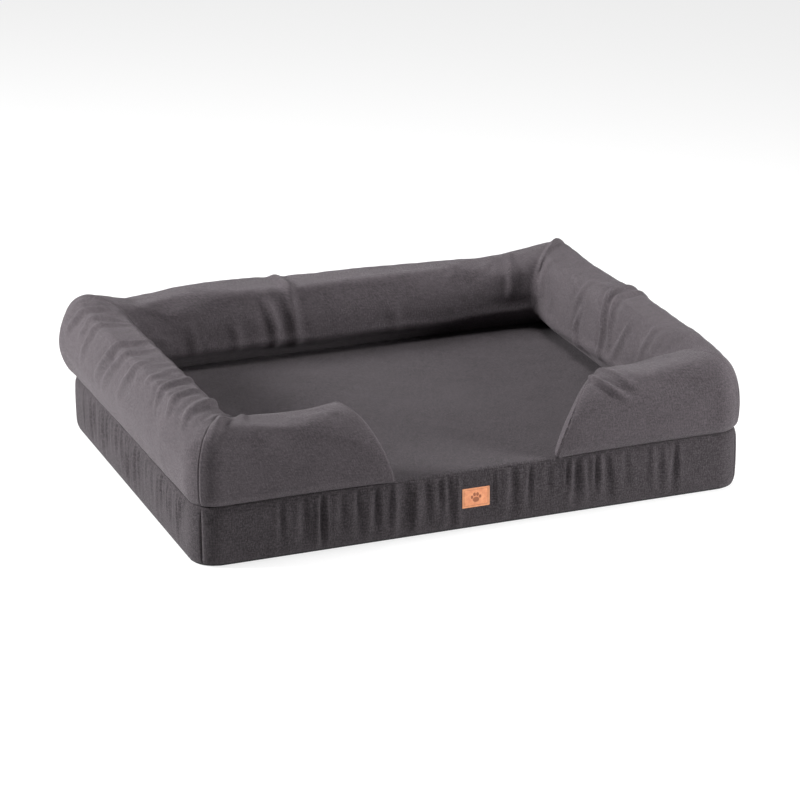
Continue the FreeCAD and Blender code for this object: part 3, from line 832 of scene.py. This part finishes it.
def make_grip_dots():
    """Low round rubber dots all over the base cloth, staggered row by row."""
    sides, radius, pitch = 10, 2.6 * MM, 22 * MM
    verts, faces = [], []
    rows = round(2 * (HALF_Y - 30 * MM) / pitch)
    columns = round(2 * (HALF_X - 30 * MM) / pitch)
    for i in range(rows):
        for j in range(columns):
            x = (j - (columns - 1) / 2 + (0.25 if i % 2 else -0.25)) * pitch
            y = (i - (rows - 1) / 2) * pitch
            if math.hypot(max(abs(x) - HALF_X + CORNER, 0), max(abs(y) - HALF_Y + CORNER, 0)) > CORNER - 12 * MM:
                continue
            start = len(verts)
            for ring, z in ((1, GRIP + 0.1 * MM), (0.85, 0.25 * MM), (0.5, 0.02 * MM)):
                for k in range(sides):
                    turn = 2 * math.pi * k / sides
                    verts.append((x + ring * radius * math.cos(turn), y + ring * radius * math.sin(turn), z))
            for ring in range(2):
                for k in range(sides):
                    a, b = start + ring * sides + k, start + ring * sides + (k + 1) % sides
                    faces.append((b, a, a + sides, b + sides))
            faces.append([start + 2 * sides + k for k in range(sides)][::-1])
            faces.append([start + k for k in range(sides)])
    dots = new_object("grip_dots", verts, faces)
    finish_piece(dots, RUBBER)


# Gathers of each boxing: metres along its side, half width and depth in millimetres, and the share of the
# height that they run down from the top seam. A negative depth is a ridge.
GATHERS = {
    "front": [
        (-0.353, 5, 1.6, 0.75), (-0.313, 7, 2.2, 0.8), (-0.292, 4, -1.5, 0.85), (-0.280, 4, 3.2, 0.95),
        (-0.246, 6, 1.4, 0.7), (-0.218, 5, 2.0, 0.8), (-0.200, 4, -1.2, 0.7), (-0.185, 5, 2.2, 0.8),
        (-0.152, 4, -1.6, 1.0), (-0.133, 9, 3.0, 1.1), (-0.112, 4, -1.4, 0.8), (-0.096, 6, 1.6, 0.8),
        (-0.072, 5, 1.2, 0.6), (-0.055, 5, 2.2, 1.1), (-0.038, 4, -1.6, 1.1),
        (0.027, 3, 1.6, 0.6), (0.062, 7, 2.4, 1.1), (0.094, 4, 1.7, 0.7), (0.126, 6, 0.8, 0.6),
        (0.163, 3, 1.8, 0.4), (0.179, 5, 3.0, 0.8), (0.192, 4, -1.6, 0.8), (0.217, 4, 1.8, 0.6),
        (0.235, 7, 2.0, 0.9), (0.272, 6, 1.0, 0.6), (0.322, 5, -1.2, 0.7), (0.346, 5, -1.2, 0.8),
        (0.366, 5, 2.2, 0.9),
    ],
}
SLOT_LOW = 32 * MM                  # the zip's slot in the back boxing
SLOT_HIGH = 44 * MM
SLOT_HALF = 406 * MM


def side_gathers(side, seed):
    """The gathers listed for a side, or seeded ones where the photograph doesn't show it."""
    if side in GATHERS:
        return GATHERS[side]
    draw = random.Random(seed)
    reach = straight_of(side) - 30 * MM
    found, at = [], -reach
    while at < reach:
        ridge = -1 if draw.random() < 0.25 else 1
        found.append((at, draw.uniform(3.5, 7), ridge * draw.uniform(0.8, 2.4), draw.uniform(0.4, 1.0)))
        at += draw.uniform(18, 42) * MM
    return found


def boxing_out(side, along, up, seed):
    """How far the boxing stands out from the bed's edge, at places along it and shares of the way up."""
    height = TOP - 2 * SEAM_DROP
    rolled = 1 - (1 - np.clip(np.minimum(up, 1 - up) * height / (14 * MM), 0, 1)) ** 2
    out = 1.8 * MM * np.sin(math.pi * np.clip(up, 0, 1)) ** 0.6 - SEAM_IN * (1 - rolled)
    folds = np.zeros_like(out)
    draw = random.Random(seed + 50)
    for at, width, depth, reach in side_gathers(side, seed):
        lean = draw.uniform(-6, 6) * MM
        centre = at + lean * (1 - up)
        wide = 0.8 * width * MM * (1 + 0.7 * (1 - up))
        fade = smooth(1 - 1.15 * reach - 0.15, 0.95, up) ** 0.6 if reach < 1 else 0.4 + 0.6 * up
        apart = (along - centre) / wide
        folds -= 2.7 * depth * MM * fade * (np.exp(-apart ** 2) - 0.45 * np.exp(-(np.abs(apart) - 1.9) ** 2))
    points = np.stack([along.ravel(), np.full(along.size, seed * 1.0), up.ravel() * 0.03], -1)
    small = ripple(points, 0.011, seed).reshape(out.shape)
    wide = ripple(points, 0.05, seed + 1).reshape(out.shape)
    pucker = smooth(0.72, 1.0, up) * (1 - smooth(0.985, 1.0, up))
    middle = 1 - smooth(0.86, 1.0, np.abs(along) / line_end(side, 0.0))
    folds += (1.1 * small * (0.3 + pucker) + 0.9 * wide) * MM
    quiet = np.sin(math.pi * np.clip(up, 0, 1)) ** 0.35
    out += 5 * MM * np.tanh(folds / (5 * MM)) * (0.15 + 0.85 * middle) * quiet
    seam = line_end(side, 0.0) - np.abs(along)
    out -= 0.6 * MM * np.exp(-(seam / (2 * MM)) ** 2)
    if side == "front":
        behind = (1 - smooth(LABEL_HALF + 1 * MM, LABEL_HALF + 7 * MM, np.abs(along - LABEL_X)))
        behind *= 1 - smooth(LABEL_TALL + 1 * MM, LABEL_TALL + 9 * MM, np.abs(up * height + SEAM_DROP - LABEL_Z))
        out += (0.2 * MM - out) * behind
    if side == "back":
        z = SEAM_DROP + up * height
        near = 1 - smooth(8 * MM, 26 * MM, np.abs(z - (SLOT_LOW + SLOT_HIGH) / 2))
        near *= 1 - smooth(SLOT_HALF + 28 * MM, SLOT_HALF + 46 * MM, np.abs(along))
        out += (0.1 * MM - out) * near
    return out


def make_boxing(side, seed):
    end = float(line_end(side, 0.0))
    columns = np.linspace(-end, end, round(2 * end / (3.6 * MM)))
    ups = 0.5 - 0.5 * np.cos(np.linspace(0, math.pi, 30))
    heights = SEAM_DROP + ups * (TOP - 2 * SEAM_DROP)
    if side == "back":
        for level in (SLOT_LOW, SLOT_HIGH):
            heights[np.argmin(np.abs(heights - level))] = level
        for level in (-SLOT_HALF, SLOT_HALF):
            columns[np.argmin(np.abs(columns - level))] = level
    ups = (heights - SEAM_DROP) / (TOP - 2 * SEAM_DROP)
    along, up = np.meshgrid(columns, ups)
    z = SEAM_DROP + up * (TOP - 2 * SEAM_DROP)
    points = place(side, along, -boxing_out(side, along, up, seed), z).reshape(-1, 3)
    faces = grid_faces(len(ups), len(columns), side in ("back", "left"))
    if side == "back":
        middle = points[np.array(faces)].mean(1)
        keep = (np.abs(middle[:, 0]) > SLOT_HALF) | (middle[:, 2] < SLOT_LOW) | (middle[:, 2] > SLOT_HIGH)
        faces = [f for f, k in zip(faces, keep) if k]
    boxing = new_object("boxing_" + side, points, faces)
    weave_map(boxing, along.ravel() + 0.4, z.ravel())
    thicken(boxing, 1.2 * MM)
    finish_piece(boxing, PANEL_PAINTED_SHADE, ["cover_boxing_" + side])


def make_slab(name, node, corner, edge, material):
    """A foam slab with rounded edges, in the space of its CAD solid."""
    low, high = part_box(node)
    x, y, inward, rows, columns = panel_grid(high.x - edge, high.y - edge, corner - edge, 26 * MM)
    verts, faces = [], []
    for z, direction in ((high.z, -1), (low.z, 1)):
        start = len(verts)
        verts += [tuple(p) for p in np.stack([x, y, np.full(x.shape, z)], -1).reshape(-1, 3)]
        faces += grid_faces(rows, columns, direction > 0, start)
    index = np.arange(rows * columns).reshape(rows, columns)
    border = np.concatenate([index[0, :-1], index[:-1, -1], index[-1, :0:-1], index[:0:-1, 0]])
    flat = np.stack([x, y], -1).reshape(-1, 2)[border]
    ahead = np.roll(flat, -1, 0) - np.roll(flat, 1, 0)
    out = np.stack([ahead[:, 1], -ahead[:, 0]], -1)
    out /= np.linalg.norm(out, axis=1, keepdims=True)
    levels = [(high.z - edge * (1 - math.sin(a)), edge * math.cos(a)) for a in (1.05, 0.5, 0)]
    levels += [(low.z + edge * (1 - math.sin(a)), edge * math.cos(a)) for a in (0, 0.5, 1.05)]
    rings = [list(border)]
    for z, beyond in levels:
        start = len(verts)
        verts += [(p[0], p[1], z) for p in flat + out * beyond]
        rings.append(list(range(start, start + len(border))))
    rings.append([i + rows * columns for i in border])
    for upper, lower in zip(rings[:-1], rings[1:]):
        for k in range(len(border)):
            m = (k + 1) % len(border)
            faces.append((upper[k], lower[k], lower[m], upper[m]))
    slab = new_object(name, verts, faces)
    weave_map(slab, [v[0] for v in verts], [v[1] + v[2] for v in verts])
    finish_piece(slab, material, [node])
    return slab


def make_inside():
    """The two foams and the thin liner round them, under the cover."""
    for name, node, material, slot_name in (
            ("foam_base", "base_foam", FOAM_GREY, "support_foam"),
            ("foam_top", "top_foam", FOAM_BLUE, "comfort_foam")):
        slab = make_slab(name, node, CORNER - 6 * MM, 8 * MM, material)
    liner = make_slab("liner", "inner_liner", CORNER - 5.5 * MM, 8 * MM, LINER)
    thicken(liner, 0.4 * MM)
    finish_piece(liner, LINER)


# ---- the label -------------------------------------------------------------------------------------------
LABEL_LOW, LABEL_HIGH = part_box("label_patch")
LABEL_X = (LABEL_LOW.x + LABEL_HIGH.x) / 2
LABEL_Z = (LABEL_LOW.z + LABEL_HIGH.z) / 2
LABEL_HALF = (LABEL_HIGH.x - LABEL_LOW.x) / 2
LABEL_TALL = (LABEL_HIGH.z - LABEL_LOW.z) / 2


MARK = 1.35 * MM                    # the unit of the pressed paw print


def paw_mask(x, z):
    """1 inside a generic paw print, 14 units across: a pad and four toes."""
    parts = [(0, -2.6, 4.4, 3.4), (-5.4, 1.0, 1.7, 2.3), (-2.0, 4.2, 1.8, 2.5), (2.0, 4.2, 1.8, 2.5),
             (5.4, 1.0, 1.7, 2.3)]
    inside = np.zeros_like(x)
    for at_x, at_z, half_wide, half_tall in parts:
        apart = np.hypot((x / MARK - at_x) / half_wide, (z / MARK - at_z) / half_tall)
        inside = np.maximum(inside, 1 - smooth(0.85, 1.1, apart))
    return inside


def make_label():
    """The leather label: soft cut edges, a pressed frame line and a pressed paw."""
    xs = np.linspace(-1, 1, 161) * LABEL_HALF
    zs = np.linspace(-1, 1, 113) * LABEL_TALL
    z, x = np.meshgrid(zs, xs, indexing="ij")
    edge = np.minimum(LABEL_HALF - np.abs(x), LABEL_TALL - np.abs(z))
    corner = 1.5 * MM
    over_x = np.maximum(np.abs(x) - (LABEL_HALF - corner), 0)
    over_z = np.maximum(np.abs(z) - (LABEL_TALL - corner), 0)
    pull = np.where((over_x > 0) & (over_z > 0), np.maximum(over_x, over_z) / np.maximum(
        np.hypot(over_x, over_z), 1e-9), 1)
    flat_x = np.sign(x) * (np.abs(x) - over_x * (1 - pull))
    flat_z = np.sign(z) * (np.abs(z) - over_z * (1 - pull))
    frame_line = np.exp(-((edge - 3.4 * MM) / (0.28 * MM)) ** 2)
    paw = paw_mask(x, z + 0.4 * MM)
    pressed = np.maximum(frame_line, paw)
    out = 1.15 * MM - 0.45 * MM * np.clip(1 - edge / (0.7 * MM), 0, 1) ** 2 - 0.28 * MM * pressed
    verts = np.stack([flat_x + LABEL_X, -HALF_Y - out + 0.1 * MM, flat_z + LABEL_Z], -1).reshape(-1, 3)
    label = new_object("label", verts, grid_faces(len(zs), len(xs)))
    weave_map(label, x.ravel(), z.ravel())
    add_layer(label, "pressed", pressed)
    add_layer(label, "rim", np.clip(1 - edge / (0.9 * MM), 0, 1))
    thicken(label, 0.7 * MM)
    finish_piece(label, LEATHER, ["label_patch"])


def capsule(verts, faces, start, end, radius, sides=6, rings=3):
    """Adds a short round-ended thread from start to end."""
    start, end = Vector(start), Vector(end)
    along = (end - start).normalized()
    across = along.orthogonal().normalized()
    other = along.cross(across)
    stations = []
    for i in range(rings + 1):
        turn = math.pi / 2 * i / rings
        stations.append((start - along * radius * math.cos(turn), radius * math.sin(turn)))
    for i in range(rings + 1):
        turn = math.pi / 2 * (1 - i / rings)
        stations.append((end + along * radius * math.cos(turn), radius * math.sin(turn)))
    base = len(verts)
    for centre, wide in stations:
        wide = max(wide, 0.01 * MM)
        for k in range(sides):
            turn = 2 * math.pi * k / sides
            verts.append(tuple(centre + (across * math.cos(turn) + other * math.sin(turn)) * wide))
    for i in range(len(stations) - 1):
        for k in range(sides):
            a, b = base + i * sides + k, base + i * sides + (k + 1) % sides
            faces.append((a, b, b + sides, a + sides))
    faces.append([base + k for k in range(sides)][::-1])
    last = base + (len(stations) - 1) * sides
    faces.append([last + k for k in range(sides)])


def make_label_stitches():
    """The stitches that hold the label, a running line 2 mm inside each of its short edges."""
    verts, faces = [], []
    surface = -HALF_Y - 1.12 * MM
    for side in (-1, 1):
        x = LABEL_X + side * (LABEL_HALF - 2.0 * MM)
        for i in range(10):
            z = LABEL_Z + (i - 4.5) * 3.1 * MM
            capsule(verts, faces, (x, surface, z - 1.0 * MM), (x, surface, z + 1.0 * MM), 0.28 * MM)
    stitches = new_object("label_stitches", verts, faces)
    finish_piece(stitches, THREAD)


# ---- the zip ---------------------------------------------------------------------------------------------
def make_tape(which):
    """A zip tape: a ribbed woven ribbon."""
    low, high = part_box("cover_zip_tape_" + which)
    xs = np.linspace(low.x, high.x, 420)
    zs = np.linspace(low.z, high.z, 12)
    z, x = np.meshgrid(zs, xs, indexing="ij")
    wave = 0.05 * MM * np.sin(2 * math.pi * (z - low.z) / (3.2 * MM))
    y = np.full(x.shape, high.y - 0.06 * MM) + wave
    tape = new_object("zip_tape_" + which, np.stack([x, y, z], -1).reshape(-1, 3), grid_faces(12, 420, True))
    weave_map(tape, x.ravel(), z.ravel())
    thicken(tape, 0.45 * MM)
    finish_piece(tape, TAPE, ["cover_zip_tape_" + which])


def make_coil(which):
    """A zip coil: one thread wound in flattened loops along the tape's edge, every 2 mm."""
    low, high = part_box("cover_zip_coil_" + which)
    pitch, steps, sides, thread = 2 * MM, 12, 5, 0.34 * MM
    turns = round((high.x - low.x) / pitch)
    middle_y, middle_z = (low.y + high.y) / 2, (low.z + high.z) / 2
    deep, tall = (high.y - low.y) / 2 - thread, (high.z - low.z) / 2 - thread
    count = turns * steps + 1
    turn = 2 * math.pi * np.arange(count) / steps
    path = np.stack([low.x + thread + (high.x - low.x - 2 * thread) * np.arange(count) / (count - 1),
                     middle_y + deep * np.cos(turn), middle_z + tall * np.sin(turn)], -1)
    ahead = np.gradient(path, axis=0)
    ahead /= np.linalg.norm(ahead, axis=1, keepdims=True)
    across = np.cross(ahead, (1.0, 0, 0))
    across /= np.linalg.norm(across, axis=1, keepdims=True)
    other = np.cross(ahead, across)
    round_it = 2 * math.pi * np.arange(sides) / sides
    verts = (path[:, None] + thread * (np.cos(round_it)[None, :, None] * across[:, None]
                                       + np.sin(round_it)[None, :, None] * other[:, None]))
    faces = []
    for i in range(count - 1):
        for k in range(sides):
            m = (k + 1) % sides
            faces.append((i * sides + k, i * sides + m, (i + 1) * sides + m, (i + 1) * sides + k))
    faces.append(list(range(sides))[::-1])
    faces.append([(count - 1) * sides + k for k in range(sides)])
    coil = new_object("zip_coil_" + which, verts.reshape(-1, 3), faces)
    finish_piece(coil, NYLON, ["cover_zip_coil_" + which])


def finish_metal():
    """The CAD's slider, puller and stops keep their shapes and get a painted metal."""
    for node in ("cover_zip_slider", "cover_zip_puller", "cover_zip_end_stops"):
        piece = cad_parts[node]
        piece.data.materials.clear()
        piece.data.materials.append(METAL)


for number in range(len(RUNS)):
    make_sleeve(number)
    make_fill(number)
make_top_panel()
make_base_panel()
make_grip_dots()
make_inside()
for number, side in enumerate(SIDES):
    make_boxing(side, 11 + number)
make_label()
make_label_stitches()
for which in ("upper", "lower"):
    make_tape(which)
    make_coil(which)
finish_metal()

# ---- stage, light and camera -----------------------------------------------------------------------------
AZIMUTH, ELEVATION, ROLL = math.radians(-21.1), math.radians(19.9), math.radians(-0.4)
DISTANCE = 5.626
LENS = 141.6
AIM = Vector((0.005, 0, 0.102))


def make_camera():
    back = Vector((math.sin(AZIMUTH) * math.cos(ELEVATION), -math.cos(AZIMUTH) * math.cos(ELEVATION),
                   math.sin(ELEVATION)))
    level = Vector((math.cos(AZIMUTH), math.sin(AZIMUTH), 0))
    rise = back.cross(level)
    right = math.cos(ROLL) * level + math.sin(ROLL) * rise
    up = math.cos(ROLL) * rise - math.sin(ROLL) * level
    data = bpy.data.cameras.new("camera")
    data.lens = LENS
    data.sensor_width = 36
    data.clip_start = 0.1
    data.clip_end = 50
    camera = bpy.data.objects.new("camera", data)
    turn = Matrix((right, up, back)).transposed().to_4x4()
    camera.matrix_world = Matrix.Translation(AIM + back * DISTANCE) @ turn
    bpy.context.scene.collection.objects.link(camera)
    bpy.context.scene.camera = camera


def make_floor():
    size = 30
    mesh = bpy.data.meshes.new("floor")
    mesh.from_pydata([(-size, -size, 0), (size, -size, 0), (size, size, 0), (-size, size, 0)], [], [(0, 1, 2, 3)])
    floor = bpy.data.objects.new("floor", mesh)
    bpy.context.scene.collection.objects.link(floor)
    material, tree, shader = new_material("pale_floor", Roughness=0.9)
    shader.inputs["Base Color"].default_value = (0.3, 0.3, 0.3, 1)
    shader.inputs["Emission Color"].default_value = (1, 1, 1, 1)
    shader.inputs["Emission Strength"].default_value = 0.74
    mesh.materials.append(material)


def make_light(name, place_at, size, power, aim=(0, 0, 0.1)):
    data = bpy.data.lights.new(name, "AREA")
    data.shape = "DISK"
    data.size = size
    data.energy = power
    light = bpy.data.objects.new(name, data)
    light.location = place_at
    light.rotation_euler = (Vector(aim) - Vector(place_at)).to_track_quat("-Z", "Y").to_euler()
    bpy.context.scene.collection.objects.link(light)


def make_world(strength):
    world = bpy.data.worlds.new("studio")
    world.use_nodes = True
    world.node_tree.nodes["Background"].inputs[0].default_value = (1, 1, 1, 1)
    world.node_tree.nodes["Background"].inputs[1].default_value = strength
    bpy.context.scene.world = world


make_camera()
make_floor()
make_world(0.07)
make_light("key", (-3.4, 1.1, 1.7), 1.1, 285)
make_light("top", (0.45, 0.0, 2.2), 1.2, 45, (0.15, 0.25, 0.2))
make_light("right", (1.65, -1.25, 0.65), 0.7, 42, (0.35, -0.2, 0.1))
bpy.context.scene.view_settings.view_transform = "Standard"
